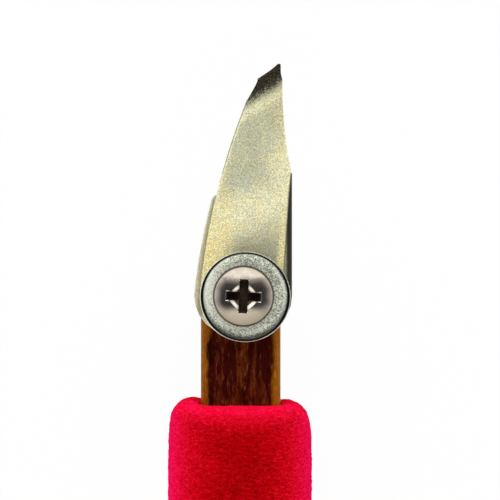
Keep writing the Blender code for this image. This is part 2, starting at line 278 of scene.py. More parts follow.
class Finish:  # the nodes of one material or of the world
    def __init__(self, owner):
        owner.use_nodes = True
        self.owner = owner
        self.tree = owner.node_tree

    def node(self, kind, settings=None, sockets=None, out=0):
        made = self.tree.nodes.new(kind)
        for key, value in (settings or {}).items():
            setattr(made, key, value)
        for key, value in (sockets or {}).items():
            plug(made.inputs[key], value)
        return Wire(made.outputs[out])

    def place(self, origin=(0, 0, 0), stretch=(1, 1, 1)):  # millimetres from an origin
        seen = self.node("ShaderNodeTexCoord", out=3)
        scale = [part / mm for part in stretch]
        shift = [-spot * part for spot, part in zip(origin, scale)]
        return self.node("ShaderNodeMapping", None, {"Vector": seen, "Scale": scale, "Location": shift})

    def split(self, vector):
        first = self.node("ShaderNodeSeparateXYZ", None, {"Vector": vector})
        outputs = first.socket.node.outputs
        return [Wire(output) for output in outputs]

    def noise(self, vector, perMm, detail=2.0, rough=0.5, warp=0.0):
        values = {"Vector": vector, "Scale": perMm, "Detail": detail}
        values.update({"Roughness": rough, "Distortion": warp})
        return self.node("ShaderNodeTexNoise", None, values)

    def blend(self, share, first, second):
        values = {0: share, 6: first, 7: second}
        return self.node("ShaderNodeMix", {"data_type": "RGBA"}, values, out=2)

    def shade(self, colour, level):  # a colour made lighter or darker
        values = {0: 1.0, 6: colour, 7: level}
        return self.node("ShaderNodeMix", {"data_type": "RGBA", "blend_type": "MULTIPLY"}, values, out=2)

    def bump(self, height, depth, under=None):
        values = {"Height": height, "Distance": depth}
        if under is not None:
            values["Normal"] = under
        return self.node("ShaderNodeBump", None, values)

    def surface(self, **values):
        shader = self.tree.nodes["Principled BSDF"]
        for key, value in values.items():
            plug(shader.inputs[key.replace("_", " ")], value)
        return self.owner


def newFinish(name):
    return Finish(bpy.data.materials.new(name))


def tone(red, green, blue):  # a colour as a screen shows it, 0 to 255
    row = []
    for part in (red, green, blue):
        share = part / 255
        row.append(share / 12.92 if share <= 0.04045 else ((share + 0.055) / 1.055) ** 2.4)
    return (*row, 1.0)


# foam grip

foamLook = {
    "deep": tone(140, 0, 2),
    "red": tone(202, 2, 5),
    # the next two tones paint the sheen of the lit sides and head end
    "warm": tone(248, 5, 16),
    "rim": tone(255, 6, 96),
    "fuzz": tone(255, 54, 110),
    # a painted glow of light through the foam at the mouth
    "mouthGlow": tone(255, 14, 22),
    "cell": 2.6,
    "hair": 6.5,
    "half": 9.6,  # from the middle to a side, mm
    "headGlow": (46.2, 49.9),  # along the grip, mm
    "pinkUp": (6.6, 9.8),
    "lipAlong": (48.9, 49.8),  # where the front of the mouth has a painted red glow
    "lipUp": (8.0, 11.0),
    "lipDown": (12.5, 14.5),
    "lipWide": (5.0, 6.5),
    "cellDeep": 0.22 * mm,
    "hairDeep": 0.07 * mm,
}


def foamFinish():
    finish = newFinish("redFoam")
    place = finish.place(stretch=(0.62, 1.25, 1.0))
    x, y, z = finish.split(finish.place())
    cells = finish.noise(place, foamLook["cell"], 3.0, 0.62)
    hairs = finish.noise(place, foamLook["hair"], 2.0, 0.6)
    broad = finish.noise(finish.place(), 0.22, 2.0)
    grain = cells * 0.75 + hairs * 0.35 + broad * 0.3 - 0.2
    colour = finish.blend(grain.ramp(0.22, 0.78), foamLook["deep"], foamLook["red"])
    side = (abs(x) / foamLook["half"]).least(1.0)  # painted sheen: the sides and the head end are brighter and pinker, less so low on the sides
    start, stop = foamLook["headGlow"]
    head = ((y - start) / (stop - start)).most(0.0).least(1.0)
    glow = (side * side * (z.ramp(0.0, 7.0) * 0.4 + 0.6)).most(head) + (cells - 0.5) * 0.34
    pinkSheen = (side ** 8.0).most(head ** 3.0 * 0.4) * (z.ramp(*foamLook["pinkUp"]) * 0.85 + 0.15)
    colour = finish.blend(glow.most(0.0).least(1.0), colour, foamLook["warm"])
    colour = finish.blend(pinkSheen, colour, foamLook["rim"])
    # pinker dots on the sides and head end are part of the painted sheen
    dots = (cells * 0.5 + hairs * 0.5).ramp(0.47, 0.6) * (side ** 4.0).most(head * 0.7)
    colour = finish.blend(dots * 0.25, colour, foamLook["fuzz"])
    specks = (hairs + cells * 0.35).ramp(0.72, 0.92)
    colour = finish.blend(specks * (glow.most(0.0).least(1.0) * 0.45 + 0.15), colour, foamLook["fuzz"])
    colour = finish.shade(colour, ((cells - 0.5) * 0.75 + (hairs - 0.5) * 0.55) * side + 1.0)
    # painted glow at the front of the mouth
    mouth = z.ramp(*foamLook["lipUp"]) * (1 - z.ramp(*foamLook["lipDown"]))
    mouthGlow = y.ramp(*foamLook["lipAlong"]) * mouth * (1 - abs(x).ramp(*foamLook["lipWide"]))
    colour = finish.blend(mouthGlow * 0.7, colour, foamLook["mouthGlow"])
    soft = finish.bump(cells, foamLook["cellDeep"])
    fuzzy = finish.bump(hairs, foamLook["hairDeep"], soft)
    return finish.surface(
        Base_Color=colour, Roughness=1.0, Normal=fuzzy, Specular_IOR_Level=0.0,
        Sheen_Weight=0.03, Sheen_Roughness=0.6, Sheen_Tint=(1.0, 0.1, 0.4, 1.0),
    )


foamGrip = {
    "wall": 4.4 * mm,
    "corner": 5.9 * mm,
    "cornerSegments": 9,
    "endRound": 2.3 * mm,
    "endSegments": 5,
    "lipRound": 0.5 * mm,
    "lipSegments": 2,
    "boreMargin": 0.35 * mm,
    "rows": 84,
    "frontCuts": 6,
    "sideCuts": 3,
    "spanSlack": 0.3 * mm,
    "taper": 0.35 * mm,
    "taperLength": 8.7 * mm,
    "lumps": 0.09 * mm,
    "lumpSize": 3.2 * mm,
    "cells": 0.105 * mm,
    "cellSize": 0.55 * mm,
    "cellStretch": (0.7, 1.2),
    "fineCells": (2.1, 0.6),  # how much finer and weaker the second layer is
    "headShift": 0.3 * mm,
    "leftShoulder": 0.5 * mm,
    "rightShoulder": 0.15 * mm,
    "leftRound": 0.35 * mm,
    "rightRound": 0.75 * mm,
    "rightDraw": 0.2 * mm,
    "roundReach": 4.5 * mm,
    "lipClear": 0.3 * mm,
    "shoulderStart": -1.0 * mm,  # from the bore's side
    "shoulderRamp": 2.0 * mm,
    "nicks": ((-6.9, 49.6, 5.0), (-5.9, 49.9, 6.6), (-7.6, 48.9, 8.2)),
    "nickReach": 0.8 * mm,
    "nickDepth": 0.45 * mm,
}


def shapeFoamSkin(piece, middle, boreHalf):  # taper at the ends, then lumps and open cells
    care = foamGrip
    ends = max(vertex.co.y for vertex in piece.data.vertices)
    nicks = [Vector(spot) * mm for spot in care["nicks"]]
    stretchX, stretchY = care["cellStretch"]
    finer, weaker = care["fineCells"]
    moves = []
    for vertex in piece.data.vertices:
        spot = vertex.co
        if abs(spot.x) < boreHalf.x and abs(spot.z - middle.z) < boreHalf.z:
            moves.append(Vector())
            continue
        fromEnd = min(1.0, (ends - abs(spot.y)) / care["taperLength"])
        move = vertex.normal * -care["taper"] * (1 - fromEnd) ** 2
        lumps = noise.noise(spot / care["lumpSize"])
        grain = Vector((spot.x * stretchX, spot.y * stretchY, spot.z)) / care["cellSize"]
        cells = noise.noise(grain) + weaker * noise.noise(grain * finer)
        dent = 0.0
        for nick in nicks:
            reach = (spot - nick).length / care["nickReach"]
            dent += max(0.0, 1 - reach * reach)
        if spot.y > 0:  # the head end stands a little proud of a square cut
            near = max(0.0, 1 - (ends - spot.y) / care["taperLength"])
            close = max(0.0, 1 - (ends - spot.y) / care["roundReach"])
            fromBore = abs(spot.x) - boreHalf.x
            wide = min(1.0, max(0.0, (fromBore - care["shoulderStart"]) / care["shoulderRamp"]))
            clear = min(1.0, max(0.0, (fromBore - care["lipClear"]) / care["shoulderRamp"]))
            if spot.x < 0:
                move.y += near * near * (care["headShift"] + wide * care["leftShoulder"])
                move.x += clear * close * close * care["leftRound"]
            else:
                move.y += near * near * (care["headShift"] + wide * care["rightShoulder"])
                move.x -= clear * (care["rightDraw"] + close * close * care["rightRound"])
        height = lumps * care["lumps"] + cells * care["cells"] - dent * care["nickDepth"]
        moves.append(move + vertex.normal * height)
    for vertex, move in zip(piece.data.vertices, moves):
        vertex.co += move


def insideBore(edge, half, middle):
    spot = edgeMiddle(edge)
    return abs(spot.x) < half.x + hair and abs(spot.z - middle.z) < half.z + hair


def makeFoamGrip():
    care = foamGrip
    low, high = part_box("foam_grip")
    middle = (low + high) / 2
    size = high - low
    piece = boxAt("foamGrip", size, middle)
    openMesh(piece)
    pick("EDGE", lambda edge: runsAlong(edge, 1))
    bpy.ops.mesh.bevel(offset=care["corner"], segments=care["cornerSegments"], profile=0.5)
    pick("FACE", facesEnd)
    bpy.ops.mesh.inset(thickness=care["wall"])
    bpy.ops.mesh.delete(type="FACE")  # the two caps over the bore
    pick("EDGE", lambda edge: edge.is_boundary)
    bpy.ops.mesh.bridge_edge_loops()
    boreHalf = Vector((size.x / 2 - care["wall"], 0, size.z / 2 - care["wall"]))

    def onRim(edge):
        atEnd = all(abs(abs(vertex.co.y) - size.y / 2) < hair for vertex in edge.verts)
        return atEnd and sum(facesEnd(face) for face in edge.link_faces) == 1

    pick("EDGE", lambda edge: onRim(edge) and not insideBore(edge, boreHalf, middle))
    bpy.ops.mesh.bevel(offset=care["endRound"], segments=care["endSegments"], profile=0.5)
    pick("EDGE", lambda edge: onRim(edge) and insideBore(edge, boreHalf, middle))
    bpy.ops.mesh.bevel(offset=care["lipRound"], segments=care["lipSegments"], profile=0.5)
    reach = size.y / 2 - care["endRound"]

    def isLong(edge):
        return runsAlong(edge, 1) and edge.calc_length() > reach

    pick("EDGE", lambda edge: isLong(edge) and not insideBore(edge, boreHalf, middle))
    bpy.ops.mesh.subdivide(number_cuts=care["rows"])
    for axis, flat, cuts in ((0, size.x, care["frontCuts"]), (2, size.z, care["sideCuts"])):
        span = flat - 2 * care["corner"]

        def isFlat(edge):
            return runsAlong(edge, axis) and abs(edge.calc_length() - span) < care["spanSlack"]

        pick("EDGE", isFlat)
        bpy.ops.mesh.subdivide(number_cuts=cuts)
    bpy.ops.mesh.select_all(action="SELECT")
    bpy.ops.mesh.normals_make_consistent(inside=False)
    closeMesh()
    useModifier(piece, "SUBSURF", levels=2, render_levels=2)
    margin = care["boreMargin"]
    shapeFoamSkin(piece, middle, boreHalf + Vector((margin, 0, margin)))
    select(piece)
    bpy.ops.object.shade_smooth()
    settle(piece, "foam_grip", "handle", foamFinish())


makeFoamGrip()


# wooden stick

woodLook = {
    "heart": tone(59, 10, 6),
    "streak": tone(106, 47, 14),
    "fleck": tone(122, 80, 60),
    "pore": tone(24, 4, 2),
    "edge": tone(129, 68, 5),
    "edgeLight": tone(172, 112, 12),
    "knot": (-4.0, 57.1),  # a dark patch on the left edge, mm
    "knotSize": (0.65, 1.7),
    "axis": -0.1,
    "edgeFrom": (4.02, 4.68),  # from the axis to where the pale edge begins, mm
    "darkAt": 3.95,
    "grainDeep": 0.03 * mm,
}


def woodFinish():
    finish = newFinish("lacqueredWood")
    x, y, _ = finish.split(finish.place())
    streaks = finish.noise(finish.place(stretch=(0.9, 0.1, 0.9)), 1.0, 3.0, 0.6, 0.7)
    flecks = finish.noise(finish.place(stretch=(2.4, 0.5, 2.4)), 1.0, 3.0, 0.65)
    fibres = finish.noise(finish.place(stretch=(6.0, 1.1, 6.0)), 1.0, 3.0, 0.65)
    pores = finish.noise(finish.place(stretch=(8.0, 1.6, 8.0)), 1.0, 2.0, 0.5)
    wander = finish.noise(finish.place(stretch=(0.3, 0.16, 0.3)), 1.0, 3.0, 0.6)
    grain = (streaks * 0.75 + flecks * 0.35 + fibres * 0.2 - 0.15).ramp(0.43, 0.62)
    colour = finish.blend(grain, woodLook["heart"], woodLook["streak"])
    spots = (flecks * 0.65 + fibres * 0.35).ramp(0.55, 0.66)
    colour = finish.blend(spots * 0.6, colour, woodLook["fleck"])
    colour = finish.blend(pores.ramp(0.54, 0.66) * 0.75, colour, woodLook["pore"])
    left = (1 - x.ramp(-1.0, 0.0)) * y.ramp(58.3, 59.8)  # sapwood widens high on the left
    right = x.ramp(0.0, 1.0) * (1 - y.ramp(50.5, 56.5))  # and low on the right
    sapwood = left * 0.35 + right * 0.4 - x.ramp(0.0, 1.0) * 0.15
    out = abs(x - woodLook["axis"]) + sapwood + (wander - 0.5) * 1.2 + (fibres - 0.5) * 0.35
    knotX, knotY = woodLook["knot"]
    wideX, wideY = woodLook["knotSize"]
    fromKnot = ((x - knotX) / wideX) ** 2.0 + ((y - knotY) / wideY) ** 2.0 + (fibres - 0.5) * 1.5
    knot = 1 - fromKnot.ramp(0.5, 1.2)
    edge = out.ramp(*woodLook["edgeFrom"]) * (1 - knot * 0.8)
    pale = (fibres * 0.6 + streaks * 0.5).ramp(0.42, 0.72)
    edgeTone = finish.blend(pale, woodLook["edge"], woodLook["edgeLight"])
    dark = (1 - abs(out - woodLook["darkAt"]).ramp(0.1, 0.6)) * wander.ramp(0.44, 0.58)
    colour = finish.blend(dark.most(knot) * 0.85, colour, woodLook["pore"])
    colour = finish.blend(edge, colour, edgeTone)
    colour = finish.blend(pores.ramp(0.56, 0.66) * edge * 0.5, colour, woodLook["streak"])
    relief = finish.bump(fibres * 0.6 + pores * 0.4, woodLook["grainDeep"])
    gloss = fibres * 0.12 + 0.22
    return finish.surface(
        Base_Color=colour, Roughness=gloss, Normal=relief, Specular_IOR_Level=0.04
    )


stick = {
    "longRound": 1.5 * mm,
    "longSegments": 6,
    "endRound": 0.8 * mm,
    "endSegments": 4,
    "hole": 2.03 * mm,
    "crease": 30,  # degrees, as smoothAngle
}


def makeHandleStick():
    low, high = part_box("handle_stick")
    piece = boxAt("handleStick", high - low, (low + high) / 2)
    openMesh(piece)
    pick("EDGE", lambda edge: runsAlong(edge, 1))
    bpy.ops.mesh.bevel(offset=stick["longRound"], segments=stick["longSegments"], profile=0.5)
    pick("EDGE", lambda edge: sum(facesEnd(face) for face in edge.link_faces) == 1)
    bpy.ops.mesh.bevel(offset=stick["endRound"], segments=stick["endSegments"], profile=0.5)
    closeMesh()
    carve(piece, cylinderAt("drill", stick["hole"], low.z - mm, high.z + mm, pivot))
    smoothBelow(piece, stick["crease"])
    useModifier(piece, "WEIGHTED_NORMAL", keep_sharp=True)
    settle(piece, "handle_stick", "handle", woodFinish())


makeHandleStick()


# blade and backing plate

steelLook = {
    "grey": (0.62, 0.63, 0.48, 1.0),
    # straw paints the yellow reflections on the blade
    "straw": (0.92, 0.82, 0.47, 1.0),
    # pale paints the highlights on the blade
    "pale": (0.95, 0.92, 0.68, 1.0),
    "cool": (0.985, 1.0, 1.03, 1.0),
    "warm": (1.02, 0.995, 0.95, 1.0),
    # black paints shade on the edges of the blade and the plate; with brown, the dark reflection on the
    # bent lip
    "black": tone(17, 14, 10),
    "brown": tone(126, 117, 92),
    "plate": (0.68, 0.66, 0.49, 1.0),
    "leftEdge": (-5.81, 0.0867, 0.006),  # edges seen from the front: start, slope and bow over the height
    "rightEdge": (5.2, 0.0635, 0.0),
    "noseEdge": (12.15, -0.505, 0.0091),
    "foldSpot": (0.42, 24.9),
    "foldWay": (0.868, 0.4966),
    "highlightBand": 11.3,  # how far above the screw the painted bright band crosses, mm
    "bandTilt": 0.35,
    "bandWander": 4,
    "bandReach": (0.5, 4.1),
    "bendAt": -0.55,  # painted highlight on the bend, past the fold, mm
    "bendReach": (0.2, 1.25),
    # the painted dark reflection on the bent lip
    "lipReflectionAt": -0.22,
    "lipReflectionTilt": 0.06,
    "lipReflectionReach": (0.32, 1.0),
    "bladeDeep": 0.025 * mm,
    "plateDeep": 0.02 * mm,
}


def edgeLine(height, line):
    start, slope, bow = line
    return height * slope + height * height * bow + start


def steelGrain(finish, place):
    coarse = finish.noise(place, 4.4, 1.0, 0.5)
    fine = finish.noise(place, 9.7, 1.0, 0.5)
    return coarse, fine


def speckle(finish, colour, coarse, fine, amount):  # light and dark grains of the blasting
    grain = (fine - 0.5) + (coarse - 0.5) * 0.15
    return finish.shade(colour, grain * amount + 1.0)


def bladeFinish():
    finish = newFinish("blastedSteel")
    place = finish.place(pivot)
    x, y, _ = finish.split(place)
    coarse, fine = steelGrain(finish, place)
    broad = finish.noise(finish.place(pivot, (1.0, 0.6, 1.0)), 0.3, 3.0, 0.6)
    patches = finish.noise(place, 0.7, 2.0, 0.6)
    fromLeft = x - edgeLine(y, steelLook["leftEdge"])  # millimetres in from each edge
    fromRight = edgeLine(y, steelLook["rightEdge"]).least(edgeLine(y, steelLook["noseEdge"])) - x
    # painted reflections: yellower low on the left, low on the right and along both margins
    lowLeft = (1 - fromLeft.ramp(0.5, 5.0)) * (1 - y.ramp(8.0, 15.0))
    lowRight = (1 - fromRight.ramp(0.75, 1.3)) * (1 - y.ramp(11.0, 18.0))
    sides = (1 - fromLeft.ramp(0.2, 3.0)) * 0.12 + (1 - fromRight.ramp(0.3, 2.4)) * 0.2
    warm = lowLeft * 0.8 + lowRight * 0.45 + sides + (broad - 0.5)
    colour = finish.blend((warm + 0.08).most(0.0).least(1.0), steelLook["grey"], steelLook["straw"])
    foldX, foldY = steelLook["foldSpot"]
    wayX, wayY = steelLook["foldWay"]
    pastFold = (y - foldY) * wayX - (x - foldX) * wayY  # millimetres past the bend
    # painted highlights: a bright band across the blade, the bend, the right side's glow and the edges
    overBand = y - steelLook["highlightBand"] - x * steelLook["bandTilt"] + (broad - 0.5) * steelLook["bandWander"]
    highlightBand = 1 - abs(overBand).ramp(*steelLook["bandReach"])
    bendHighlight = 1 - abs(pastFold - steelLook["bendAt"]).ramp(*steelLook["bendReach"])
    glow = (1 - fromRight.ramp(1.0, 4.6)) * (1 - y.ramp(17.0, 22.5)) * y.ramp(11.0, 14.5)
    # painted highlights on the rubbed edges
    rightRubbedAndHighlit = (1 - fromRight.ramp(0.12, 0.5)) * y.ramp(12.0, 16.0) * (1 - y.ramp(20.5, 22.8))
    rubbedAndHighlit = (1 - fromLeft.ramp(0.2, 0.4)).most(rightRubbedAndHighlit)
    light = (highlightBand * 0.75).most(rubbedAndHighlit * 0.8).most(bendHighlight * 0.6).most(glow * 0.65)
    colour = finish.blend(light, colour, steelLook["pale"])
    # more painted reflection low on the left
    colour = finish.blend(lowLeft * 0.55, colour, steelLook["straw"])
    cast = finish.blend(patches.ramp(0.36, 0.64), steelLook["cool"], steelLook["warm"])
    colour = finish.shade(colour, cast)
    # painted shade just above the washer
    under = (1 - y.ramp(6.2, 8.8)) * x.ramp(-2.9, 0.7) * fromRight.ramp(0.8, 1.5)
    colour = speckle(finish, finish.shade(colour, 1 - under * 0.25), coarse, fine, 1.7)
    rightEdgeShade = (1 - fromRight.ramp(0.0, 0.26)) * (1 - y.ramp(13.0, 17.0))  # painted shade, low on the right edge
    leftEdgeShade = (1 - fromLeft.ramp(0.04, 0.14)) * y.ramp(14.0, 19.0)  # and high on the left
    colour = finish.blend((rightEdgeShade * 0.8).most(leftEdgeShade * 0.5), colour, steelLook["black"])
    # painted dark reflection on the bent lip, with a speckled edge
    lipReflectionLine = pastFold - steelLook["lipReflectionAt"] - x * steelLook["lipReflectionTilt"]
    lipDarkReflection = (lipReflectionLine + (fine - 0.5) * 4.2 + (coarse - 0.5) * 1.6).ramp(*steelLook["lipReflectionReach"])
    lipReflectionTone = finish.blend((fine + coarse * 0.4).ramp(0.67, 0.98), steelLook["black"], steelLook["brown"])
    colour = finish.blend(lipDarkReflection, colour, lipReflectionTone)
    rough = fine * 0.14 + 0.76
    blasted = finish.bump(coarse * 0.3 + fine * 0.7, steelLook["bladeDeep"])
    return finish.surface(
        Base_Color=colour, Metallic=0.7 - lipDarkReflection * 0.3, Roughness=rough, Normal=blasted,
        Specular_IOR_Level=0.2,
    )


def plateFinish():
    finish = newFinish("plateSteel")
    place = finish.place(pivot)
    x, y, _ = finish.split(place)
    coarse, fine = steelGrain(finish, place)
    colour = speckle(finish, steelLook["plate"], coarse, fine, 1.6)
    fromBlade = edgeLine(y, steelLook["leftEdge"]) - x
    line = (1 - fromBlade.ramp(0.0, 0.5)) * fromBlade.ramp(-0.6, -0.3)  # painted shadow along the blade's left edge
    colour = finish.blend(line * 0.35, colour, steelLook["black"])
    right = x.ramp(5.5, 5.9) * (1 - x.ramp(6.2, 6.6) * 0.3)  # painted shade on the right margin
    colour = finish.blend(right * 0.9, colour, steelLook["black"])
    blasted = finish.bump(coarse * 0.4 + fine * 0.6, steelLook["plateDeep"])
    return finish.surface(Base_Color=colour, Metallic=1.0, Roughness=fine * 0.12 + 0.6, Normal=blasted)


blade = {
    "merge": 0.06,
    "ease": 0.12 * mm,
    "segments": 3,
    "hole": 3 * mm,
    "lipStart": 90.7,  # the bent-up lip, mm
    "lipLength": 2.4,
    "lipRise": 1.43,
    "lipFront": 12.9,
    "lipSkin": 0.3,
    "lipThick": 0.73,
    "leftOf": 2.3,
    "quicken": 1.2,
    "undercut": 0.6,
    "edge": 14.2,
    "grind": 0.15,
}
plate = {
    "merge": 0.001,
    "ease": 0.25 * mm,
    "segments": 4,
    "hole": 3 * mm,
}


def trimLip(piece):  # the lip's left side is cut back underneath and its edge is ground down
    care = blade
    for vertex in piece.data.vertices:
        x, y, z = vertex.co / mm
        past = (y - care["lipStart"]) / care["lipLength"]
        if past > 0 and x < care["leftOf"]:
            under = care["lipFront"] + care["lipRise"] * past * past - z - care["lipSkin"]
            out = min(1.0, past * care["quicken"])
            vertex.co.x += care["undercut"] * out * min(1.0, max(0.0, under / care["lipThick"])) * mm
        if z > care["edge"]:
            vertex.co.y -= care["grind"] * mm


def makeSheets():
    piece = cadCopy("chiselBlade", "blade", blade["merge"])
    trimLip(piece)
    easeEdges(piece, blade["ease"], blade["segments"], hole=blade["hole"])
    settle(piece, "blade", "blade", bladeFinish())
    piece = cadCopy("backingPlate", "backing_plate", plate["merge"])
    easeEdges(piece, plate["ease"], plate["segments"], hole=plate["hole"])
    settle(piece, "backing_plate", "backing_plate", plateFinish())


makeSheets()


# washers and nut

zincLook = {
    "grey": (0.27, 0.295, 0.235, 1.0),
    "bright": (0.98, 1.0, 0.89, 1.0),
    # rim paints the dark of the rolled rim and round the screw's head
    "rim": (0.012, 0.012, 0.01, 1.0),
    "flake": 8.4,
    "roll": 5.1,  # radius where the rim starts to roll over, mm
    "ring": 5.22,
    "line": 5.52,
    "lineEnd": (5.88, 5.93),
    "side": (5.87, 5.92),
    "underHead": (4.0, 4.1),
    "flakeDeep": 0.02 * mm,
}
nutLook = {
    "grey": (0.2, 0.21, 0.18, 1.0),
    "bright": (0.62, 0.63, 0.56, 1.0),
    "flakeDeep": 0.03 * mm,
}
washer = {  # lengths in mm
    "outer": 6.0,
    "hole": 2.25,
    "thick": 1.0,
    "rollWidth": 1.15,
    "rollDrop": 0.18,
    "rollSteps": 12,
    "rollPower": 2.2,
    "rimRound": 0.2,
    "rimArc": 68,  # degrees
    "rimSteps": 8,
    "rimSink": 0.93,
    "burr": 0.1,
    "crease": 35,  # degrees
}


def zincFlakes(finish, place):
    values = {"Vector": place, "Scale": zincLook["flake"]}
    flakes = finish.node("ShaderNodeTexVoronoi", None, values, out=1)
    return finish.split(flakes)[0], finish.noise(place, 7.6, 1.5, 0.55)


def washerFinish(name, origin):
    finish = newFinish(name)
    place = finish.place(origin)
    x, y, _ = finish.split(place)
    sparkle, fine = zincFlakes(finish, place)
    broad = finish.noise(place, 0.6, 2.0)
    radius = (x * x + y * y) ** 0.5
    screwFrom = (pivot - Vector(origin)) / mm
    right = x / washer["outer"]
    up = y / washer["outer"]
    lit = (0 - right).ramp(0.1, 0.9) * 0.45 - right.ramp(0.2, 0.9) * 0.1  # painted light: brighter on the left, darker on the right
    # and brighter towards the bottom, also painted light
    lit = lit + (0 - up).ramp(0.2, 0.9) * 0.25
    share = (sparkle - 0.5) * 0.9 + (fine - 0.5) * 2.2 + (broad - 0.5) * 0.5 + 0.58 + lit
    colour = finish.blend(share.ramp(0.0, 1.1), zincLook["grey"], zincLook["bright"])
    inner = up * 0.36 + (fine - 0.5) * 0.9 + zincLook["roll"]
    low = (0 - up).ramp(0.0, 0.8)
    ring = (1 - abs(radius - zincLook["ring"]).ramp(0.08, 0.3)) * (1 - low) * abs(right).ramp(0.45, 0.85)
    colour = finish.blend(ring * 0.6, colour, zincLook["bright"])  # painted highlight just inside the rim
    # painted dark reflection in the rolled rim, stronger towards the bottom
    core = up.most(0.0) * 0.12 + zincLook["line"]
    line = (radius - core).ramp(-0.12, 0.1)
    roll = (radius - inner).ramp(-0.1, 0.65)  # smoother where the rim rolls over, with a painted dark reflection there
    stainAndDarkReflection = (roll * (low * 0.8 + 0.1)).most(line) * (1 - radius.ramp(*zincLook["lineEnd"]))
    colour = finish.blend(radius.ramp(*zincLook["side"]) * 0.25, colour, zincLook["grey"])
    colour = finish.blend(stainAndDarkReflection, colour, zincLook["rim"])
    # painted shadow round the screw's head
    fromScrew = ((x - screwFrom.x) ** 2.0 + (y - screwFrom.y) ** 2.0) ** 0.5
    headShadow = 1 - fromScrew.ramp(*zincLook["underHead"])
    colour = finish.blend(headShadow * 0.85, colour, zincLook["rim"])
    rough = 0.66 - roll * 0.3 + fine * 0.1
    relief = finish.bump((sparkle * 0.35 + fine * 0.65) * (1 - roll), zincLook["flakeDeep"])
    return finish.surface(Base_Color=colour, Metallic=1.0, Roughness=rough, Normal=relief)


def nutFinish():
    finish = newFinish("nutZinc")
    place = finish.place(pivot)
    sparkle, fine = zincFlakes(finish, place)
    share = (sparkle * 0.5 + fine * 0.5).ramp(0.2, 0.9)
    colour = finish.blend(share, nutLook["grey"], nutLook["bright"])
    relief = finish.bump(sparkle * 0.35 + fine * 0.65, nutLook["flakeDeep"])
    return finish.surface(Base_Color=colour, Metallic=1.0, Roughness=fine * 0.12 + 0.32, Normal=relief)


def washerProfile(bottom):
    care = washer
    top = bottom + care["thick"]
    start = care["outer"] - care["rollWidth"]
    turn = care["outer"] - care["rimRound"]
    points = [(care["hole"], bottom + care["burr"]), (care["hole"] + care["burr"], bottom)]
    points += [(care["outer"] - care["burr"], bottom), (care["outer"], bottom + care["burr"])]
    rimTop = top - care["rollDrop"]
    for step in range(care["rimSteps"] + 1):  # the rim, from its side up to the start of the roll
        angle = math.radians(care["rimArc"]) * step / care["rimSteps"]
        height = rimTop - care["rimRound"] * (care["rimSink"] - math.sin(angle))
        points.append((turn + care["rimRound"] * math.cos(angle), height))
    last = points[-1]
    for step in range(1, care["rollSteps"] + 1):  # the roll, flattening towards the middle
        share = step / care["rollSteps"]
        radius = last[0] + (start - last[0]) * share
        points.append((radius, top - (top - last[1]) * (1 - share) ** care["rollPower"]))
    points += [(care["hole"] + care["burr"], top), (care["hole"], top - care["burr"]), points[0]]
    return [(radius * mm, height * mm) for radius, height in points]


def makeWasher(name, node, body):
    low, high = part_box(node)
    middle = (low + high) / 2
    piece = turned(name, washerProfile(low.z / mm), middle)
    smoothBelow(piece, washer["crease"])
    settle(piece, node, body, washerFinish(name + "Zinc", (middle.x, middle.y, low.z)))


makeWasher("clampWasher", "clamp_washer", "clamp_washer")
makeWasher("rearWasher", "rear_washer", "handle")


nut = {
    "merge": 0.08,
    "ease": 0.12 * mm,
    "segments": 3,
    "sharpness": 25,
}


def makeNut():
    piece = cadCopy("clampNut", "clamp_nut", nut["merge"])
    easeEdges(piece, nut["ease"], nut["segments"], nut["sharpness"])
    settle(piece, "clamp_nut", "handle", nutFinish())


makeNut()


# screw

screwLook = {
    "steel": (0.305, 0.275, 0.23, 1.0),
    "bright": (0.365, 0.33, 0.28, 1.0),
    "rubbedAndHighlit": (0.86, 0.84, 0.78, 1.0),
    "corner": (0.56, 0.54, 0.49, 1.0),
    "stainAndDarkReflection": (0.24, 0.205, 0.155, 1.0),
    "darkReflectionTone": (0.075, 0.062, 0.058, 1.0),
    "grimeAndShade": (0.014, 0.009, 0.006, 1.0),
    "rust": tone(120, 86, 52),
    "heart": -1.1,  # height of the crown's centre over the pivot, mm
    "headFrom": (2.9, 3.2),
    "smearDeep": 0.006 * mm,
}
screw = {  # lengths in mm, angles in degrees
    "seat": 14.0,
    "head": 4.0,
    "height": 2.6,
    "crown": 6.5,
    "edge": 0.35,
    "edgeDrop": 1.6,
    "edgeSteps": 8,
    "crownSteps": 32,
    "burr": 0.12,
    "tip": 0.4,
    "neck": 0.3,
    "shank": 1.95,
    "core": 1.6,
    "sides": 160,
    "pitch": 0.7,
    "crest": 0.05,
    "root": 0.29,
    "sink": 0.08,  # how far the thread's foot goes into the core
    "windSteps": 48,
    "reach": (2.45, 2.36, 2.45, 2.3),  # the four arms of the cross
    "arm": 1.25,
    "depth": 1.9,
    "endDraft": 16,
    "sideDraft": 5,
    "turn": -3,
    "rimEase": 0.15,
    "endEase": (0.12, -0.04, 0.12, -0.04),
    "rimDepth": 0.32,
    "rimHinge": 2.15,
    "corner": (1.58, 1.6, 1.76, 1.74),
    "cornerSlope": 31,
    "cornerLong": 2.2,
    "cornerWide": 2.0,
    "cornerHigh": 1.0,
    "cornerOut": 0.7,
    "quarter": 90,
    "crease": 30,
}


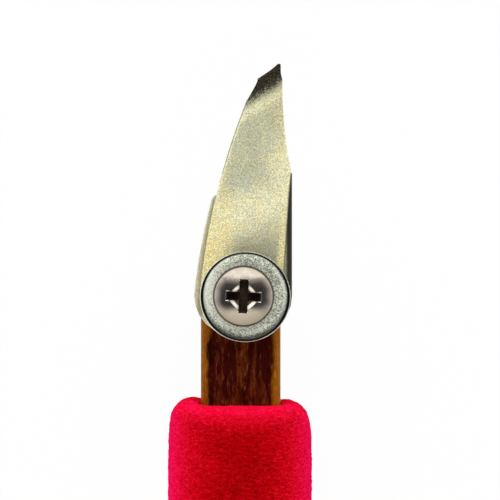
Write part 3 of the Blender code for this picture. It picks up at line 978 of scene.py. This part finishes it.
def stainlessFinish():
    finish = newFinish("stainlessSteel")
    place = finish.place(pivot)
    x, y, z = finish.split(place)
    smear = finish.noise(place, 0.9, 3.0, 0.6)
    fine = finish.noise(place, 7.0, 2.0)
    colour = finish.blend(smear.ramp(0.35, 0.7), screwLook["steel"], screwLook["bright"])
    onHead = z.ramp(*screwLook["headFrom"])
    stained = (1 - (y + smear * 0.8 - 0.4).ramp(-2.5, -1.2)) * onHead  # tan film on one side of the head
    colour = finish.blend(stained * 0.8, colour, screwLook["stainAndDarkReflection"])
    # painted dark reflection across the upper head
    darkReflectionBand = (1 - abs(y + smear * 0.9 - 2.35).ramp(0.2, 0.85)) * (1 - abs(x).ramp(2.2, 3.3)) * onHead
    colour = finish.blend(darkReflectionBand * 0.8, colour, screwLook["darkReflectionTone"])
    fromHeart = (x * x + y * y + (z - screwLook["heart"]) ** 2.0) ** 0.5
    outward = x * x + y * y
    inCross = z.ramp(2.9, 3.0) * (1 - outward.ramp(6.0, 8.0))
    depth = screw["crown"] - fromHeart
    sunk = depth.ramp(0.31, 0.43) * inCross  # grime and painted shade down in the cross
    rubbedAndHighlit = depth.ramp(0.02, 0.08) * (1 - sunk) * inCross  # its rim is rubbed bright by the driver, with painted highlights
    turn = math.radians(screw["turn"])
    along = abs(x * math.cos(turn) + y * math.sin(turn))
    across = abs(y * math.cos(turn) - x * math.sin(turn))
    outer = outward.ramp(3.4, 4.4)
    shine = along.least(across).ramp(0.6, 0.95).most(outer)  # painted highlights in the corner flats' middles
    rubbedAndHighlitTone = finish.blend(outer, screwLook["corner"], screwLook["rubbedAndHighlit"])
    colour = finish.blend(rubbedAndHighlit * shine * (fine.ramp(0.3, 0.6) * 0.35 + 0.65), colour, rubbedAndHighlitTone)
    rim = outward.ramp(14.2, 15.0)  # and painted shade round the head's edge
    grimeAndShade = finish.blend(fine.ramp(0.45, 0.7) * 0.6, screwLook["grimeAndShade"], screwLook["rust"])
    colour = finish.blend(sunk.most(rim) * 0.93, colour, grimeAndShade)
    relief = finish.bump(smear * 0.7 + fine * 0.3, screwLook["smearDeep"])
    rough = smear * 0.1 + sunk * 0.4 + 0.14
    return finish.surface(
        Base_Color=colour, Metallic=1 - sunk.most(rim) * 0.7, Roughness=rough, Normal=relief,
        Specular_IOR_Level=0.15,
    )


def screwProfile(seat, tip):
    care = screw
    top = seat + care["height"]
    base = top - care["crown"]
    points = [(0, tip), (care["core"] - care["tip"], tip), (care["core"], tip + care["tip"])]
    points += [(care["core"], seat - care["neck"]), (care["shank"], seat)]
    points.append((care["head"] - care["burr"], seat))
    crownEnd = math.asin((care["head"] - care["edge"]) / care["crown"])
    rim = Vector((care["crown"] * math.sin(crownEnd), base + care["crown"] * math.cos(crownEnd)))
    side = Vector((care["head"], rim.y - care["edgeDrop"] * care["edge"]))
    corner = Vector((care["head"], rim.y - care["edge"] * math.tan(crownEnd)))
    points.append((care["head"], seat + care["burr"]))
    for step in range(care["edgeSteps"] + 1):
        share = step / care["edgeSteps"]
        spot = side.lerp(corner, share).lerp(corner.lerp(rim, share), share)
        points.append((spot.x, spot.y))
    for step in range(1, care["crownSteps"] + 1):
        angle = crownEnd * (1 - step / care["crownSteps"])
        points.append((care["crown"] * math.sin(angle), base + care["crown"] * math.cos(angle)))
    return [(radius * mm, height * mm) for radius, height in points]


def makeThread(seat, tip):  # one ridge wound round the core, right-handed
    care = screw
    bpy.ops.object.select_all(action="DESELECT")
    bpy.ops.mesh.primitive_plane_add(size=mm, location=spindle)
    ridge = bpy.context.object
    ridge.name = "thread"
    start = tip + care["root"]
    foot = care["core"] - care["sink"]
    section = ((foot, -care["root"]), (care["shank"], -care["crest"]))
    section += ((foot, care["root"]), (care["shank"], care["crest"]))
    for vertex, (radius, height) in zip(ridge.data.vertices, section):
        vertex.co = Vector((radius, 0, start + height)) * mm
    openMesh(ridge)
    bpy.ops.mesh.select_all(action="SELECT")
    bpy.ops.mesh.delete(type="ONLY_FACE")
    closeMesh()
    turns = int((seat - start) / care["pitch"])
    useModifier(
        ridge, "SCREW", angle=2 * math.pi, screw_offset=care["pitch"] * mm, iterations=turns,
        steps=care["windSteps"], render_steps=care["windSteps"],
        use_merge_vertices=True, merge_threshold=0.0001 * mm,
    )
    bpy.ops.object.transform_apply(location=True, rotation=True, scale=True)
    openMesh(ridge)
    pick("EDGE", lambda edge: edge.is_boundary)
    bpy.ops.mesh.fill_holes(sides=4)  # both ends of the ridge
    bpy.ops.mesh.select_all(action="SELECT")
    bpy.ops.mesh.normals_make_consistent(inside=False)
    closeMesh()
    return ridge


def turnSelected(angle, axis, centre):  # with no window the operator turns the other way
    bpy.ops.transform.rotate(value=-angle, orient_axis=axis, center_override=centre)


def recessBlock(out, back, turn, top):  # a drafted punch for two arms of the cross, wide end up
    care = screw
    rise = care["height"] / 2
    span = out + back
    middle = (pivot.x + (out - back) / 2 * mm, pivot.y, (top + (rise - care["depth"]) / 2) * mm)
    piece = boxAt("arms", (span * mm, care["arm"] * mm, (rise + care["depth"]) * mm), middle)
    openMesh(piece)
    for level, height in ((-1, -care["depth"]), (1, rise)):
        wideX = 1 + 2 * height * math.tan(math.radians(care["endDraft"])) / span
        wideY = 1 + 2 * height * math.tan(math.radians(care["sideDraft"])) / care["arm"]
        pick("VERT", lambda vertex: (vertex.co.z - middle[2]) * level > 0)
        bpy.ops.transform.resize(value=(wideX, wideY, 1), center_override=(middle[0], pivot.y, 0))
    bpy.ops.mesh.select_all(action="SELECT")
    turnSelected(math.radians(turn), "Z", spindle)
    closeMesh()
    return piece


def cornerBlock(arm, turn, top):  # a slanted punch for the flat between two arms
    care = screw
    reach = care["corner"][arm]
    level = (top - care["crown"] + math.sqrt(care["crown"] ** 2 - reach ** 2)) * mm
    size = (care["cornerLong"] * mm, care["cornerWide"] * mm, care["cornerHigh"] * mm)
    middle = (pivot.x + (reach + care["cornerOut"]) * mm - size[0] / 2, pivot.y, level + size[2] / 2)
    piece = boxAt("corner", size, middle)
    openMesh(piece)
    bpy.ops.mesh.select_all(action="SELECT")
    hinge = (pivot.x + reach * mm, pivot.y, level)
    turnSelected(-math.radians(care["cornerSlope"]), "Y", hinge)
    turnSelected(math.radians(turn + care["quarter"] / 2), "Z", spindle)
    closeMesh()
    return piece


def rimBlock(arm, turn, top):  # a sloped punch that breaks the edge of one arm as the crown falls
    care = screw
    fall = math.sqrt(care["crown"] ** 2 - care["rimHinge"] ** 2)
    drop = care["crown"] - fall
    reach = care["reach"][arm] - drop * math.tan(math.radians(care["endDraft"])) + care["endEase"][arm]
    width = care["arm"] - 2 * drop * math.tan(math.radians(care["sideDraft"])) + 2 * care["rimEase"]
    deep = care["rimDepth"]
    level = (top - drop) * mm
    middle = (pivot.x + reach / 2 * mm, pivot.y, level)
    piece = boxAt("rim", (reach * mm, width * mm, 2 * deep * mm), middle)
    openMesh(piece)
    for side in (-1, 1):
        pick("VERT", lambda vertex: (vertex.co.z - level) * side > 0)
        wide = (1 + side * deep / reach, 1 + 2 * side * deep / width, 1)
        bpy.ops.transform.resize(value=wide, center_override=spindle)
    bpy.ops.mesh.select_all(action="SELECT")
    hinge = (pivot.x + care["rimHinge"] * mm, pivot.y, level)
    turnSelected(math.atan2(care["rimHinge"], fall), "Y", hinge)
    turnSelected(math.radians(turn), "Z", spindle)
    closeMesh()
    return piece


def makeScrew():
    care = screw
    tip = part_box("clamp_screw")[0].z / mm
    top = care["seat"] + care["height"]
    piece = turned("clampScrew", screwProfile(care["seat"], tip), pivot, care["sides"])
    punches = []
    for arm in range(4):
        turn = care["turn"] + arm * care["quarter"]
        punches.append(rimBlock(arm, turn, top))
        punches.append(cornerBlock(arm, turn, top))
        if arm < 2:
            punches.append(recessBlock(care["reach"][arm], care["reach"][arm + 2], turn, top))
    carveAll(piece, punches)
    ridge = makeThread(care["seat"], tip)
    select(piece)
    ridge.select_set(True)
    bpy.ops.object.join()
    smoothBelow(piece, care["crease"])
    settle(piece, "clamp_screw", "clamp_screw", stainlessFinish())


makeScrew()


# floor, light and camera

studio = {
    "tent": 2.5,
    "overhead": 0.08,
    "flatX": 0.54,
    "fallX": 0.45,
    "flatY": 0.16,
    "fallY": 0.45,
    "tilt": 0.2,
    "lean": -0.08,
    "horizon": 0.5,
    "rise": 0.75,
    "tentTint": (1.0, 0.985, 0.95, 1.0),
    "slotTint": (0.95, 0.97, 1.0, 1.0),
    "slotEdge": (0.55, 1.1),
    "floor": 0.6,
    "floorSize": 3,
    "floorTop": -0.3 * mm,
    "white": 0.95,
    "glow": 1.02,
}
view = {
    "spot": (1.248, 70.666, 232.9),  # mm
    "lens": 119.6,
    "sensor": 36,
    "near": 5 * mm,
}


def makeWorld():  # a light tent with a dark slot overhead, where the camera looks in
    world = bpy.data.worlds.new("studio")
    bpy.context.scene.world = world
    finish = Finish(world)
    x, y, z = finish.split(finish.node("ShaderNodeTexCoord", out=0))
    across = ((abs(x) - studio["flatX"]) / studio["fallX"]).most(0.0)
    along = ((abs(y) - studio["flatY"]) / studio["fallY"]).most(0.0)
    outOfSlot = ((across * across + along * along) ** 0.5).ramp(*studio["slotEdge"])
    slot = (1 - outOfSlot) * z.ramp(-0.05, 0.05)
    lean = y * studio["tilt"] + x * studio["lean"] + 1
    wall = studio["tent"] * lean * (abs(z) * studio["rise"] + studio["horizon"])
    level = wall + slot * (studio["overhead"] - wall)
    tint = finish.blend(slot, studio["tentTint"], studio["slotTint"])
    backdrop = finish.tree.nodes["Background"]
    plug(backdrop.inputs["Color"], tint)
    plug(backdrop.inputs["Strength"], level)


def makeFloor():
    bpy.ops.object.select_all(action="DESELECT")
    bpy.ops.mesh.primitive_plane_add(size=studio["floorSize"], location=(0, 0, studio["floorTop"]))
    floor = bpy.context.object
    floor.name = "floor"
    finish = newFinish("paleFloor")
    rays = finish.node("ShaderNodeLightPath").socket.node.outputs
    glossy = Wire(rays["Is Glossy Ray"])
    through = Wire(rays["Is Transmission Ray"])
    seen = Wire(rays["Is Camera Ray"]).most(glossy).most(through)
    shader = finish.tree.nodes["Principled BSDF"]
    finish.surface(Base_Color=(studio["floor"],) * 3 + (1.0,), Roughness=0.9, Specular_IOR_Level=0.0)
    glow = finish.node("ShaderNodeEmission", None, {"Color": (1, 1, 1, 1), "Strength": studio["glow"]})
    mix = finish.node(
        "ShaderNodeMixShader", None, {0: seen * studio["white"], 1: Wire(shader.outputs[0]), 2: glow}
    )
    plug(finish.tree.nodes["Material Output"].inputs["Surface"], mix)
    floor.data.materials.append(finish.owner)


def makeCamera():
    data = bpy.data.cameras.new("above")
    data.lens = view["lens"]
    data.sensor_width = view["sensor"]
    data.clip_start = view["near"]
    camera = bpy.data.objects.new("above", data)
    camera.location = [part * mm for part in view["spot"]]
    bpy.context.scene.collection.objects.link(camera)
    bpy.context.scene.camera = camera


makeWorld()
makeFloor()
makeCamera()
bpy.context.scene.view_settings.view_transform = "Standard"
print("stage set")
